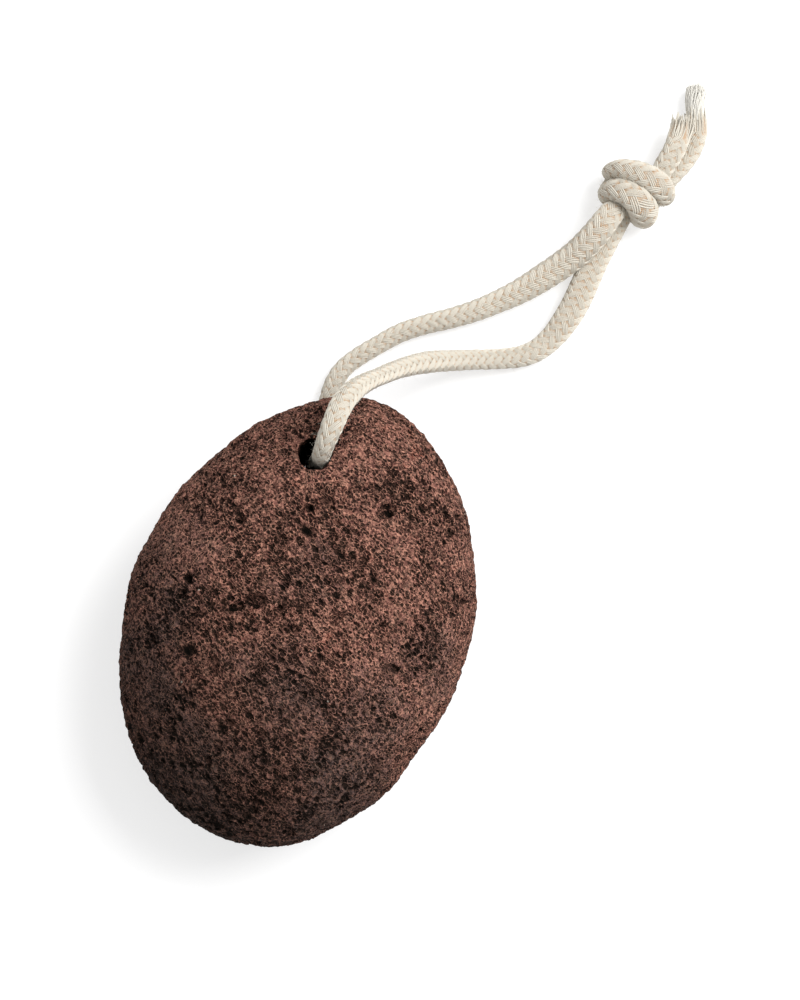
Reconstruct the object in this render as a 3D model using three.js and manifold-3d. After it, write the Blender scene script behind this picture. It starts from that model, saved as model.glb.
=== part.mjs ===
// Pumice foot stone: an egg of pitted lava stone, bored near its narrow end, with a braided
// cotton cord through the bore and both ends of the cord tied in one overhand knot.
// The stone lies on its belly at z = 0, with its narrow end towards +Y. Millimetres.
import * as THREE from "three";
import { mergeVertices } from "three/addons/utils/BufferGeometryUtils.js";
import Module from "manifold-3d";

const wasm = await Module();
wasm.setup();

// Stone: an egg with a slightly square section, cut flat under its belly
const HALF_LENGTH = 44.0;
const HALF_WIDTH = 32.65;
const HALF_HEIGHT = 18.9;
const BELLY_CUT = 0.7;
const CENTRE_HEIGHT = HALF_HEIGHT - BELLY_CUT;
const SQUARENESS = 2.1;
const NOSE_RISE = 2.1;
const CENTRE_X = -0.29;
const CENTRE_Y = 1.6;
const BODY_DETAIL = 9;

// The plan's departure from an ellipse: waves round the outline, from the +Y tip
const OUTLINE_WAVES = [
  { turns: 1, cosine: -0.052, sine: 0.018 },
  { turns: 2, cosine: 0, sine: 0.023 },
  { turns: 3, cosine: 0.005, sine: 0.004 },
  { turns: 4, cosine: 0.007, sine: -0.001 },
  { turns: 5, cosine: 0.006, sine: -0.001 },
];

// Bore for the cord
const BORE_RADIUS = 3.4;
const BORE_SIDES = 28;
const BORE_TOP = new THREE.Vector3(-4.7, 29.1, 34);
const BORE_BOTTOM = new THREE.Vector3(-4.8, 30.4, 6);
const BORE_OVERRUN = 12;

// Pits all over the stone
const PIT_COUNT = 92;
const PIT_SIZES = { least: 0.8, most: 1.75 };
const LARGE_PIT = 2.0;
const PIT_STRETCH = 0.8;
const PIT_DEPTH = 0.85;
const PIT_SINK = 0.12;
const BELLY_MARGIN = 1.6;
const BORE_MARGIN = 7.2;

// Larger cavities of the upper face: place in plan, half sizes and turn from the x axis
const CAVITIES = [
  { x: 3.4, y: 14.0, long: 1.5, wide: 1.0, turn: 70 },
  { x: 3.4, y: 17.2, long: 0.9, wide: 0.7, turn: 0 },
  { x: -2.7, y: 18.5, long: 1.1, wide: 0.8, turn: 20 },
  { x: -17.6, y: -6.8, long: 1.7, wide: 0.8, turn: 40 },
  { x: -19.0, y: -9.4, long: 1.5, wide: 0.8, turn: 15 },
  { x: -21.3, y: -3.7, long: 1.2, wide: 0.8, turn: 60 },
  { x: -10.2, y: -3.2, long: 1.7, wide: 0.9, turn: 20 },
  { x: -2.5, y: -2.1, long: 1.7, wide: 1.2, turn: 45 },
  { x: -5.5, y: -24.2, long: 1.2, wide: 0.9, turn: 0 },
  { x: 22.6, y: -23.1, long: 1.4, wide: 0.8, turn: 30 },
  { x: 11.4, y: -29.0, long: 1.3, wide: 0.9, turn: 10 },
  { x: -7.6, y: -32.5, long: 1.6, wide: 0.8, turn: 95 },
  { x: 25.7, y: -2.3, long: 1.3, wide: 0.8, turn: 15 },
  { x: 23.2, y: 2.6, long: 1.2, wide: 0.8, turn: 40 },
  { x: 22.4, y: 24.6, long: 1.3, wide: 1.0, turn: 130 },
];
const CAVITY_DEPTH = 1.1;

// Bites out of the rim, seen as notches in the outline
const RIM_NOTCHES = [
  { x: 25.6, y: -28.6, z: 20, radius: 1.7 },
  { x: 21.6, y: -33.6, z: 21, radius: 1.5 },
  { x: 31.2, y: -14.5, z: 17, radius: 1.3 },
  { x: -12.6, y: 40.4, z: 18, radius: 1.3 },
  { x: -31.6, y: -8.0, z: 17, radius: 1.4 },
  { x: 4.0, y: -44.8, z: 17, radius: 1.3 },
];

// Cord: routes in order from the middle of the bore to the knot
const CORD_RADIUS = 2.1;
const CORD_SIDES = 8;
const FRONT_STEPS = 27;
const BACK_STEPS = 22;
const FRONT_ROUTE = [
  [-4.5, 29.8, 20.3],
  [-4.2, 29.5, 25.5],
  [-3.9, 29.2, 30.0],
  [-3.8, 29.3, 33.5],
  [-3.4, 31.1, 36.5],
  [-2.8, 34.6, 37.7],
  [-2.3, 38.5, 36.5],
  [-1.3, 42.4, 33.2],
  [0.2, 45.5, 29.3],
  [2.1, 48.3, 25.0],
  [5.6, 52.8, 18.3],
  [9.6, 56.4, 12.8],
  [13.8, 59.1, 8.2],
  [18.2, 61.3, 5.0],
  [22.8, 63.2, 3.1],
  [27.3, 65.3, 2.4],
  [30.0, 67.5, 2.4],
  [32.2, 70.9, 2.4],
  [33.8, 75.0, 2.6],
  [34.9, 79.5, 2.7],
  [35.5, 83.6, 2.7],
  [36.1, 88.0, 2.8],
  [37.0, 92.3, 3.0],
];
const BACK_ROUTE = [
  [-4.9, 29.9, 19.6],
  [-5.3, 30.3, 14.5],
  [-5.6, 30.6, 9.8],
  [-5.5, 31.2, 6.0],
  [-5.9, 33.5, 3.1],
  [-6.5, 37.4, 2.2],
  [-7.3, 41.8, 2.2],
  [-7.7, 46.0, 2.2],
  [-7.6, 49.6, 2.2],
  [-6.6, 53.0, 2.2],
  [-4.6, 55.9, 2.2],
  [-1.6, 59.2, 2.2],
  [2.4, 63.2, 2.2],
  [6.8, 66.3, 2.2],
  [11.3, 68.9, 2.2],
  [15.5, 71.6, 2.4],
  [19.6, 74.8, 2.7],
  [23.4, 78.1, 3.0],
  [27.0, 81.9, 3.5],
  [30.0, 85.3, 4.3],
  [32.3, 88.2, 5.5],
  [34.1, 91.1, 7.0],
  [35.5, 94.0, 7.9],
];

// Knot: places along the cord, to its right and above the table, from the knot's middle
const KNOT_PLACE = new THREE.Vector3(40.9, 103.2, 0);
const KNOT_HEADING = THREE.MathUtils.degToRad(14.5);
const KNOT_RADIUS = 2.35;
const KNOT_STEPS = 22;
const LOWER_TURN = [
  [-11.0, -1.1, 3.1],
  [-8.0, -1.1, 3.4],
  [-4.2, -0.9, 4.4],
  [-0.4, -0.7, 5.2],
  [3.2, -1.2, 5.0],
  [5.0, -2.8, 3.6],
  [3.6, -4.5, 2.7],
  [0.6, -5.2, 2.8],
  [-1.8, -5.3, 4.2],
  [-3.0, -4.9, 6.4],
  [-2.6, -4.2, 9.0],
  [-2.5, -1.8, 10.3],
  [-2.7, 0.7, 10.0],
  [-2.9, 2.4, 7.8],
  [-2.8, 2.9, 5.0],
  [-1.8, 2.7, 2.9],
  [0.8, 2.6, 2.5],
  [4.4, 3.0, 2.5],
  [8.0, 3.5, 2.5],
];
const UPPER_TURN = [
  [-9.2, -2.8, 8.0],
  [-6.6, -2.5, 7.9],
  [-4.4, -2.2, 6.9],
  [-1.6, -2.0, 6.1],
  [1.4, -2.1, 5.8],
  [3.8, -3.2, 5.2],
  [3.8, -5.2, 4.4],
  [2.2, -6.5, 4.8],
  [1.1, -6.9, 6.6],
  [1.8, -5.5, 9.0],
  [2.6, -2.8, 10.4],
  [3.0, 0.2, 10.8],
  [2.7, 2.4, 10.0],
  [2.7, 3.8, 7.8],
  [2.8, 4.2, 5.2],
  [3.6, 2.9, 4.5],
  [5.6, 1.9, 5.8],
  [8.2, 1.7, 6.2],
];
const KNOT_CORE = { along: 4.8, across: 4.8, height: 4.2, place: [0.4, -1.2, 6.4] };
const END_RADIUS = 1.95;
const END_STEPS = 6;
const LONG_END = [
  [8.7, 3.6, 2.5],
  [11.2, 4.1, 2.5],
  [14.5, 4.3, 2.5],
  [18.4, 3.5, 2.4],
  [21.0, 1.7, 2.3],
  [24.4, -0.2, 2.3],
  [27.2, -1.4, 2.2],
];
const SHORT_END = [
  [8.8, 1.75, 6.3],
  [10.6, 1.8, 6.4],
  [12.8, 1.6, 6.2],
  [16.2, 0.8, 5.7],
  [19.1, -0.2, 5.5],
];

// Finish
const STONE_COLOUR = 0x5f4038;
const COTTON_COLOUR = 0xe6ddcc;

// Repeatable scatter between 0 and 1 for a number and a purpose
function scatter(number, purpose) {
  const wave = Math.sin(number * 12.9898 + purpose * 78.233) * 43758.5453;
  return wave - Math.floor(wave);
}

function outlineScale(heading) {
  let scale = 1;
  for (const { turns, cosine, sine } of OUTLINE_WAVES) {
    scale += cosine * Math.cos(turns * heading) + sine * Math.sin(turns * heading);
  }
  return scale;
}

// How far the nose is lifted off the table at a place along the stone
function noseRise(y) {
  return NOSE_RISE * (Math.max(y, 0) / HALF_LENGTH) ** 2;
}

// Shallow lumps of the weathered surface
function lump(point) {
  const broad = Math.sin(point.x / 4.6 + 0.8) * Math.sin(point.y / 5.8 + 2.1);
  const cross = Math.sin(point.y / 3.3 + point.x / 7.1 + 0.5) * Math.sin(point.z / 3.9 + 1.2);
  return 0.26 * broad + 0.24 * cross;
}

// The surface point in a direction from the stone's centre
function stonePoint(direction) {
  const across = Math.hypot(direction.x, direction.y);
  const sum = across ** SQUARENESS + Math.abs(direction.z) ** SQUARENESS;
  const reach = sum ** (-1 / SQUARENESS);
  const scale = reach * outlineScale(Math.atan2(direction.x, direction.y));
  const y = HALF_LENGTH * direction.y * scale;
  const point = new THREE.Vector3(
    HALF_WIDTH * direction.x * scale,
    y,
    HALF_HEIGHT * direction.z * reach + noseRise(y),
  );
  point.addScaledVector(direction, lump(point));
  return point.add(new THREE.Vector3(CENTRE_X, CENTRE_Y, CENTRE_HEIGHT));
}

// The direction from the centre to the upper face above a place in plan
function directionAbove(x, y) {
  const sideways = (x - CENTRE_X) / HALF_WIDTH;
  const lengthways = (y - CENTRE_Y) / HALF_LENGTH;
  const spread = Math.hypot(sideways, lengthways) / outlineScale(Math.atan2(sideways, lengthways));
  const upwards = Math.max(1 - spread ** SQUARENESS, 0) ** (1 / SQUARENESS);
  const scale = spread / Math.hypot(sideways, lengthways);
  return new THREE.Vector3(sideways * scale, lengthways * scale, upwards).normalize();
}

// The outward normal of the surface in a direction from the centre
function stoneNormal(direction) {
  const step = 0.02;
  const side = new THREE.Vector3(-direction.y, direction.x, 0).normalize();
  const up = new THREE.Vector3().crossVectors(direction, side).normalize();
  const corners = [side, up].map((axis) => {
    const ahead = stonePoint(direction.clone().addScaledVector(axis, step).normalize());
    const behind = stonePoint(direction.clone().addScaledVector(axis, -step).normalize());
    return ahead.sub(behind);
  });
  const normal = new THREE.Vector3().crossVectors(corners[0], corners[1]).normalize();
  return normal.dot(direction) < 0 ? normal.negate() : normal;
}

function toSolid(geometry) {
  const plain = geometry.clone();
  for (const name of Object.keys(plain.attributes)) {
    if (name !== "position") plain.deleteAttribute(name);
  }
  const merged = mergeVertices(plain, 1e-4);
  const vertProperties = new Float32Array(merged.attributes.position.array);
  const triVerts = new Uint32Array(merged.index.array);
  return new wasm.Manifold(new wasm.Mesh({ numProp: 3, vertProperties, triVerts }));
}

function toGeometry(solid) {
  const { vertProperties, triVerts } = solid.getMesh();
  const geometry = new THREE.BufferGeometry();
  geometry.setAttribute("position", new THREE.BufferAttribute(vertProperties, 3));
  geometry.setIndex(new THREE.BufferAttribute(triVerts, 1));
  geometry.computeVertexNormals();
  return geometry;
}

function stoneBody() {
  const geometry = new THREE.IcosahedronGeometry(1, BODY_DETAIL);
  const places = geometry.attributes.position;
  for (let i = 0; i < places.count; i += 1) {
    const direction = new THREE.Vector3().fromBufferAttribute(places, i).normalize();
    const point = stonePoint(direction);
    places.setXYZ(i, point.x, point.y, point.z);
  }
  const below = new THREE.BoxGeometry(200, 200, 40).translate(0, 0, -20);
  return toSolid(geometry).subtract(toSolid(below));
}

function boreCutter() {
  const axis = BORE_TOP.clone().sub(BORE_BOTTOM);
  const length = axis.length() + 2 * BORE_OVERRUN;
  const cutter = new THREE.CylinderGeometry(BORE_RADIUS, BORE_RADIUS, length, BORE_SIDES);
  const turn = new THREE.Quaternion().setFromUnitVectors(
    new THREE.Vector3(0, 1, 0),
    axis.normalize(),
  );
  const middle = BORE_TOP.clone().add(BORE_BOTTOM).multiplyScalar(0.5);
  cutter.applyMatrix4(new THREE.Matrix4().compose(middle, turn, new THREE.Vector3(1, 1, 1)));
  return toSolid(cutter);
}

// A rounded pit across the surface in a direction, long and wide, turned about the normal
function pitCutter(direction, { long, wide, deep, turn, detail }) {
  const normal = stoneNormal(direction);
  const place = stonePoint(direction).addScaledVector(normal, PIT_SINK * wide);
  const facing = new THREE.Quaternion().setFromUnitVectors(new THREE.Vector3(0, 0, 1), normal);
  const spin = new THREE.Quaternion().setFromAxisAngle(new THREE.Vector3(0, 0, 1), turn);
  const cutter = new THREE.IcosahedronGeometry(1, detail);
  const size = new THREE.Vector3(long, wide, deep);
  cutter.applyMatrix4(new THREE.Matrix4().compose(place, facing.multiply(spin), size));
  return toSolid(cutter);
}

// Directions spread evenly over the flattened body
function spreadDirection(number, count) {
  const level = 1 - (2 * (number + 0.5)) / count;
  const height = Math.sign(level) * (1 - (1 - Math.abs(level)) ** 1.6);
  const heading = number * Math.PI * (3 - Math.sqrt(5)) + 0.5 * scatter(number, 1);
  const across = Math.sqrt(1 - height * height);
  return new THREE.Vector3(across * Math.cos(heading), across * Math.sin(heading), height);
}

function distanceToBore(point) {
  const line = new THREE.Line3(BORE_TOP, BORE_BOTTOM);
  return line.closestPointToPoint(point, false, new THREE.Vector3()).distanceTo(point);
}

function scatteredPits() {
  const cutters = [];
  for (let i = 0; i < PIT_COUNT; i += 1) {
    const direction = spreadDirection(i, PIT_COUNT);
    const place = stonePoint(direction);
    if (place.z < BELLY_MARGIN || distanceToBore(place) < BORE_MARGIN) continue;
    const spread = PIT_SIZES.most - PIT_SIZES.least;
    const wide = PIT_SIZES.least + spread * scatter(i, 2) ** 2;
    const long = wide * (1 + PIT_STRETCH * scatter(i, 3));
    const detail = long > LARGE_PIT ? 1 : 0;
    const turn = Math.PI * scatter(i, 4);
    cutters.push(pitCutter(direction, { long, wide, deep: PIT_DEPTH * wide, turn, detail }));
  }
  return cutters;
}

function cavityCutters() {
  return CAVITIES.map(({ x, y, long, wide, turn }) =>
    pitCutter(directionAbove(x, y), {
      long,
      wide,
      deep: CAVITY_DEPTH,
      turn: THREE.MathUtils.degToRad(turn),
      detail: 1,
    }),
  );
}

function notchCutters() {
  return RIM_NOTCHES.map(({ x, y, z, radius }) => {
    const bite = new THREE.IcosahedronGeometry(radius, 1).scale(1, 1, 1.8);
    return toSolid(bite.translate(x, y, z));
  });
}

function buildStone() {
  let solid = stoneBody();
  for (const cutter of [...cavityCutters(), ...scatteredPits(), ...notchCutters()]) {
    solid = solid.subtract(cutter);
  }
  return toGeometry(solid.subtract(boreCutter()));
}

// A plain cord along a route
function cordGeometry(route, radius, steps) {
  const curve = new THREE.CatmullRomCurve3(route, false, "centripetal");
  const section = new THREE.Shape();
  for (let side = 0; side < CORD_SIDES; side += 1) {
    const angle = (2 * Math.PI * side) / CORD_SIDES;
    const corner = [radius * Math.cos(angle), radius * Math.sin(angle)];
    if (side === 0) section.moveTo(...corner);
    else section.lineTo(...corner);
  }
  section.closePath();
  return new THREE.ExtrudeGeometry(section, { steps, extrudePath: curve, bevelEnabled: false });
}

function tablePoints(rows) {
  return rows.map(([x, y, z]) => new THREE.Vector3(x, y, z));
}

// A place given along the cord, to its right and above the table at the knot
function knotPoints(rows) {
  const along = new THREE.Vector3(Math.sin(KNOT_HEADING), Math.cos(KNOT_HEADING), 0);
  const right = new THREE.Vector3(Math.cos(KNOT_HEADING), -Math.sin(KNOT_HEADING), 0);
  return rows.map(([forward, sideways, height]) =>
    KNOT_PLACE.clone()
      .addScaledVector(along, forward)
      .addScaledVector(right, sideways)
      .add(new THREE.Vector3(0, 0, height)),
  );
}

// A tight knot is packed solid, so the hollows between its turns are filled
function outerShell(solid) {
  return solid.decompose().reduce((outer, shell) => (shell.volume() > outer.volume() ? shell : outer));
}

function buildKnot() {
  const core = new THREE.IcosahedronGeometry(1, 2);
  core.scale(KNOT_CORE.across, KNOT_CORE.along, KNOT_CORE.height);
  core.rotateZ(-KNOT_HEADING);
  core.translate(...knotPoints([KNOT_CORE.place])[0].toArray());
  const joined = [LOWER_TURN, UPPER_TURN]
    .map((rows) => toSolid(cordGeometry(knotPoints(rows), KNOT_RADIUS, KNOT_STEPS)))
    .reduce((solid, turn) => solid.add(turn), toSolid(core));
  return toGeometry(outerShell(joined));
}

function named(name, geometry, colour) {
  const material = new THREE.MeshStandardMaterial({ color: colour, roughness: 0.95, metalness: 0 });
  const mesh = new THREE.Mesh(geometry, material);
  mesh.name = name;
  return mesh;
}

const footStone = new THREE.Group();
footStone.add(
  named("stone", buildStone(), STONE_COLOUR),
  named("cord_front", cordGeometry(tablePoints(FRONT_ROUTE), CORD_RADIUS, FRONT_STEPS), COTTON_COLOUR),
  named("cord_back", cordGeometry(tablePoints(BACK_ROUTE), CORD_RADIUS, BACK_STEPS), COTTON_COLOUR),
  named("cord_knot", buildKnot(), COTTON_COLOUR),
  named("cord_end_long", cordGeometry(knotPoints(LONG_END), END_RADIUS, END_STEPS), COTTON_COLOUR),
  named("cord_end_short", cordGeometry(knotPoints(SHORT_END), END_RADIUS, END_STEPS), COTTON_COLOUR),
);

export default footStone;
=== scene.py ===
"""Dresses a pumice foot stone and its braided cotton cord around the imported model, in metres."""

import logging
import math
from dataclasses import dataclass

import bpy
import numpy as np
from mathutils import Matrix, Quaternion, Vector
from mathutils.bvhtree import BVHTree


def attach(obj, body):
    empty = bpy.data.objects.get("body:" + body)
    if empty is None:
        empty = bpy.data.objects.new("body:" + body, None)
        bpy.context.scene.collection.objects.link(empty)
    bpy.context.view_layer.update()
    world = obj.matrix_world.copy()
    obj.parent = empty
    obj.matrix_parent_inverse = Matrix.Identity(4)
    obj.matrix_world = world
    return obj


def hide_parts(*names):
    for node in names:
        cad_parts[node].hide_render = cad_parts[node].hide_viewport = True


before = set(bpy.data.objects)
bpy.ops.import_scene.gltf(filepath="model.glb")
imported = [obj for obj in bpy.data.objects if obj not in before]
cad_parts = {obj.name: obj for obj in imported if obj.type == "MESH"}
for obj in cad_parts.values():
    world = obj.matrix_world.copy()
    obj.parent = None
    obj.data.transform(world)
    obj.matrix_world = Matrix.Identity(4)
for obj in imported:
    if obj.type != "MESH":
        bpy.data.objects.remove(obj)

LOG = logging.getLogger("pumice_stone")
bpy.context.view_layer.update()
BODY = "root"
MM = 0.001
FILM_MM = 36.0

Row = tuple[float, float, float]


def scatter(number: np.ndarray | float, purpose: float) -> np.ndarray:
    """Gives a repeatable value between 0 and 1 for each number and each purpose."""
    wave = np.sin(np.asarray(number, float) * 12.9898 + purpose * 78.233) * 43758.5453
    return wave - np.floor(wave)


def unit(vectors: np.ndarray) -> np.ndarray:
    """Scales each row to length one."""
    return vectors / np.linalg.norm(vectors, axis=-1, keepdims=True)


def take_up(piece: bpy.types.Object) -> None:
    """Makes a piece the only selected and the active one.

    Args:
        piece: The piece to work on.
    """
    bpy.ops.object.select_all(action="DESELECT")
    piece.select_set(True)
    bpy.context.view_layer.objects.active = piece


def finish_with(piece: bpy.types.Object, kind: str, **settings: object) -> None:
    """Adds a modifier to a piece and applies it.

    Args:
        piece: The piece that the modifier shapes.
        kind: The modifier's type.
        **settings: The modifier's own values.
    """
    take_up(piece)
    modifier = piece.modifiers.new(kind.lower(), kind)
    for name, value in settings.items():
        setattr(modifier, name, value)
    bpy.ops.object.modifier_apply(modifier=modifier.name)


def vertex_places(piece: bpy.types.Object) -> np.ndarray:
    """Reads a piece's vertices.

    Args:
        piece: A mesh piece.

    Returns:
        One row for each vertex.
    """
    places = np.empty(len(piece.data.vertices) * 3, np.float32)
    piece.data.vertices.foreach_get("co", places)
    return places.reshape(-1, 3).astype(float)


def put_vertices(piece: bpy.types.Object, places: np.ndarray) -> None:
    """Moves a piece's vertices to the places given, one row for each."""
    piece.data.vertices.foreach_set("co", places.astype(np.float32).ravel())
    piece.data.update()


class Sketch:
    """Lays nodes in a shader or geometry tree and links them as it goes."""

    def __init__(self, tree: bpy.types.NodeTree) -> None:
        """Starts on an emptied tree."""
        self.tree = tree
        tree.nodes.clear()

    def lay(self, kind: str, inputs: dict | None = None, **settings: object) -> bpy.types.Node:
        """Adds a node.

        Args:
            kind: The node's type.
            inputs: Values or sockets for its inputs, by name or number.
            **settings: The node's own properties.

        Returns:
            The node.
        """
        node = self.tree.nodes.new(kind)
        for name, value in settings.items():
            setattr(node, name, value)
        for key, value in (inputs or {}).items():
            if isinstance(value, bpy.types.NodeSocket):
                self.tree.links.new(value, node.inputs[key])
            else:
                node.inputs[key].default_value = value
        return node

    def reckon(self, operation: str, *values: object, clamp: bool = False) -> bpy.types.NodeSocket:
        """Adds a Math node.

        Args:
            operation: What it works out.
            *values: Numbers or sockets.
            clamp: Whether the result is kept between 0 and 1.

        Returns:
            The result's socket.
        """
        node = self.lay("ShaderNodeMath", dict(enumerate(values)), operation=operation)
        node.use_clamp = clamp
        return node.outputs[0]

    def move(self, operation: str, *values: object) -> bpy.types.NodeSocket:
        """Adds a Vector Math node.

        Args:
            operation: What it works out.
            *values: Vectors or sockets.

        Returns:
            The resulting vector's socket.
        """
        node = self.lay("ShaderNodeVectorMath", operation=operation)
        for slot, value in enumerate(values):
            target = node.inputs["Scale"] if operation == "SCALE" and slot == 1 else node.inputs[slot]
            if isinstance(value, bpy.types.NodeSocket):
                self.tree.links.new(value, target)
            else:
                target.default_value = value
        return node.outputs[0]

    def blend(self, share: object, first: object, second: object) -> bpy.types.NodeSocket:
        """Adds a colour Mix node.

        Args:
            share: How much of the second colour shows.
            first: A colour or socket.
            second: A colour or socket.

        Returns:
            The mixed colour's socket.
        """
        node = self.lay("ShaderNodeMix", data_type="RGBA")
        for slot, value in ((0, share), (6, first), (7, second)):
            if isinstance(value, bpy.types.NodeSocket):
                self.tree.links.new(value, node.inputs[slot])
            else:
                node.inputs[slot].default_value = value
        return node.outputs[2]

    def stretch(self, value: object, low: float, high: float) -> bpy.types.NodeSocket:
        """Stretches the range between two values to the range between 0 and 1.

        Args:
            value: The socket to stretch.
            low: What becomes 0.
            high: What becomes 1.

        Returns:
            The clamped result's socket.
        """
        inputs = {"Value": value, "From Min": low, "From Max": high}
        return self.lay("ShaderNodeMapRange", inputs, clamp=True).outputs["Result"]

    def times(self, first: object, second: object) -> bpy.types.NodeSocket:
        """Multiplies two numbers or sockets."""
        return self.reckon("MULTIPLY", first, second)

    def plus(self, first: object, second: object) -> bpy.types.NodeSocket:
        """Adds two numbers or sockets."""
        return self.reckon("ADD", first, second)

    def in_mm(self, place: object) -> bpy.types.NodeSocket:
        """Turns a place in metres into one in millimetres."""
        return self.move("SCALE", place, 1 / MM)

    def note(self, name: str, output: str) -> bpy.types.NodeSocket:
        """Reads an attribute of the mesh in a shader."""
        return self.lay("ShaderNodeAttribute", attribute_name=name).outputs[output]

    def part(self, vector: object, axis: int) -> bpy.types.NodeSocket:
        """Takes one of a vector's or a colour's three parts."""
        return self.lay("ShaderNodeSeparateXYZ", {"Vector": vector}).outputs[axis]

    def noise(self, place: object, scale: float, detail: float, **more: float) -> bpy.types.Node:
        """Adds a noise texture.

        Args:
            place: The place's socket.
            scale: How many swells there are to a unit of the place.
            detail: How many finer noises it has.
            **more: Its other values, by input name.

        Returns:
            The node.
        """
        return self.lay("ShaderNodeTexNoise", {"Vector": place, "Scale": scale, "Detail": detail, **more})

    def surface(
        self, colour: object, bump: bpy.types.Node, roughness: float, specular: float
    ) -> bpy.types.Node:
        """Adds the shader and the material's output.

        Args:
            colour: The colour's socket.
            bump: The node that gives the relief.
            roughness: The shader's roughness.
            specular: The shader's specular level.

        Returns:
            The shader.
        """
        inputs = {"Base Color": colour, "Roughness": roughness, "Normal": bump.outputs[0]}
        shader = self.lay("ShaderNodeBsdfPrincipled", inputs)
        shader.inputs["Specular IOR Level"].default_value = specular
        self.lay("ShaderNodeOutputMaterial", {"Surface": shader.outputs[0]})
        return shader


def start_group(name: str, kind: str, inputs: dict[str, str], outputs: dict[str, str]) -> Sketch:
    """Starts a node group with named inputs and outputs.

    Args:
        name: The group's name.
        kind: The tree's type.
        inputs: Socket types by input name.
        outputs: Socket types by output name.

    Returns:
        The sketch of the group's tree.
    """
    tree = bpy.data.node_groups.new(name, kind)
    for label, socket in inputs.items():
        tree.interface.new_socket(label, in_out="INPUT", socket_type=socket)
    for label, socket in outputs.items():
        tree.interface.new_socket(label, in_out="OUTPUT", socket_type=socket)
    return Sketch(tree)


@dataclass(frozen=True)
class Mottle:
    """A soft noise that is read as a mask between two of its levels."""

    scale: float
    detail: float
    low: float
    high: float
    roughness: float = 0.5
    distortion: float = 0.0

    def lay(self, sketch: Sketch, place: object) -> bpy.types.NodeSocket:
        """Lays the mask's nodes.

        Args:
            sketch: The tree to lay them in.
            place: The place's socket, in millimetres.

        Returns:
            The mask's socket, from 0 to 1.
        """
        more = {"Roughness": self.roughness, "Distortion": self.distortion}
        noise = sketch.noise(place, self.scale, self.detail, **more)
        return sketch.stretch(noise.outputs[0], self.low, self.high)


@dataclass(frozen=True)
class PoreLayer:
    """One size of single gas bubbles in the lava, in millimetres."""

    cell: float
    radius: float
    depth: float
    least: float
    most: float = 1.25
    roundness: float = 0.7

    def lay(self, sketch: Sketch, place: object, swell: object) -> bpy.types.NodeSocket:
        """Lays the nodes that give how deep the bubbles open at a place.

        Args:
            sketch: The tree to lay them in.
            place: The place's socket, in millimetres.
            swell: A factor on the bubbles' radius.

        Returns:
            The depth's socket, in millimetres.
        """
        cells = sketch.lay("ShaderNodeTexVoronoi", {"Vector": place, "Scale": 1 / self.cell})
        chance = sketch.part(cells.outputs["Color"], 0)
        size = sketch.plus(self.least, sketch.times(chance, self.most - self.least))
        away = sketch.times(cells.outputs["Distance"], self.cell / self.radius)
        share = sketch.reckon("DIVIDE", away, sketch.times(swell, size))
        inside = sketch.reckon("SUBTRACT", 1.0, sketch.times(share, share), clamp=True)
        rounded = sketch.times(sketch.reckon("POWER", inside, self.roundness), size)
        return sketch.times(rounded, self.depth * self.radius)


@dataclass(frozen=True)
class FoamLayer:
    """One size of crowded bubbles with thin walls between them, in millimetres."""

    cell: float
    wall: float
    depth: float
    closed: float
    opening: float = 0.2
    slope: float = 0.10
    roundness: float = 0.7
    rim: tuple[float, float] = (0.3, 1.7)

    def lay(self, sketch: Sketch, place: object, swell: object) -> tuple[bpy.types.NodeSocket, ...]:
        """Lays the nodes that give how far the foam is open at a place.

        Args:
            sketch: The tree to lay them in.
            place: The place's socket, in millimetres.
            swell: A factor on the share of bubbles that are open.

        Returns:
            The sockets of how open the place is and of how near a wall it is, both from 0 to 1.
        """
        inputs = {"Vector": place, "Scale": 1 / self.cell}
        cells = sketch.lay("ShaderNodeTexVoronoi", inputs)
        edges = sketch.lay("ShaderNodeTexVoronoi", inputs, feature="DISTANCE_TO_EDGE")
        chance = sketch.part(cells.outputs["Color"], 0)
        gate = sketch.stretch(sketch.times(chance, swell), self.closed, self.closed + self.opening)
        inset = sketch.times(edges.outputs["Distance"], self.cell)
        hole = sketch.stretch(inset, self.wall, self.wall + self.slope * self.cell)
        rim = sketch.stretch(inset, self.rim[0] * self.wall, self.rim[1] * self.wall)
        near = sketch.reckon("SUBTRACT", 1.0, rim)
        return sketch.times(sketch.reckon("POWER", hole, self.roundness), gate), near


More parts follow.
